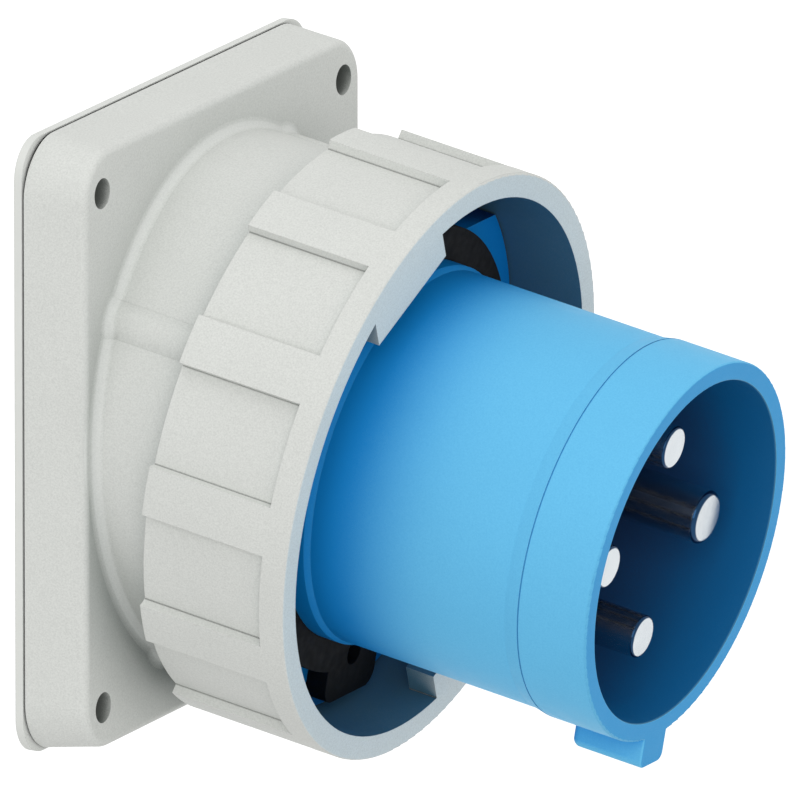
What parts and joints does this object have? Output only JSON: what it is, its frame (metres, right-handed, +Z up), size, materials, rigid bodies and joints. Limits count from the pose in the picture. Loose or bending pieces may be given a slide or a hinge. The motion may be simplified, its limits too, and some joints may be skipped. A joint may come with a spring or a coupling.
{
  "type": "angled pin and sleeve inlet",
  "caption": "Wall inlet with a square flange, a downward-leaning blue sleeve round bare contact pins, and a ribbed bayonet locking ring.",
  "frame": {"origin": "middle of the four flange holes, on the face that meets the wall", "axes": "+Y into the wall, -Y out of it, +Z up, +X to the right for someone who faces the inlet; the sleeve points along -Y and leans down by 10 degrees"},
  "size_m": [0.1098, 0.1139, 0.1187],
  "materials": {
    "housing_grey": "light grey moulded polyamide, fine matt",
    "ring_grey": "light grey moulded polyamide, fine matt",
    "gasket_grey": "light grey elastomer",
    "insert_blue": "signal blue moulded polyamide, satin",
    "seal_black": "black elastomer",
    "carrier_black": "black moulded polyamide",
    "contact_nickel": "nickel-plated brass, polished",
    "screw_steel": "zinc-plated steel"
  },
  "bodies": {
    "housing": {"flange_housing": "housing_grey", "wall_gasket": "gasket_grey", "pin_sleeve": "insert_blue", "face_gasket": "seal_black", "plug_seal": "seal_black", "contact_carrier": "carrier_black", "carrier_screws": "screw_steel", "insert_screws": "screw_steel", "terminal_screws": "screw_steel", "contact_l1": "contact_nickel", "pin_seal_l1": "seal_black", "wire_clamp_l1": "screw_steel", "contact_l2": "contact_nickel", "pin_seal_l2": "seal_black", "wire_clamp_l2": "screw_steel", "contact_l3": "contact_nickel", "pin_seal_l3": "seal_black", "wire_clamp_l3": "screw_steel", "contact_earth": "contact_nickel", "pin_seal_earth": "seal_black", "wire_clamp_earth": "screw_steel"},
    "ring": {"locking_ring": "ring_grey"}
  },
  "joints": [
    {"name": "ring_turn", "type": "hinge", "parent": "housing", "child": "ring", "pos_m": [0, -0.01355, 0], "axis": [0, 0.9848, 0.1736], "range_deg": [0, 45]}
  ]
}
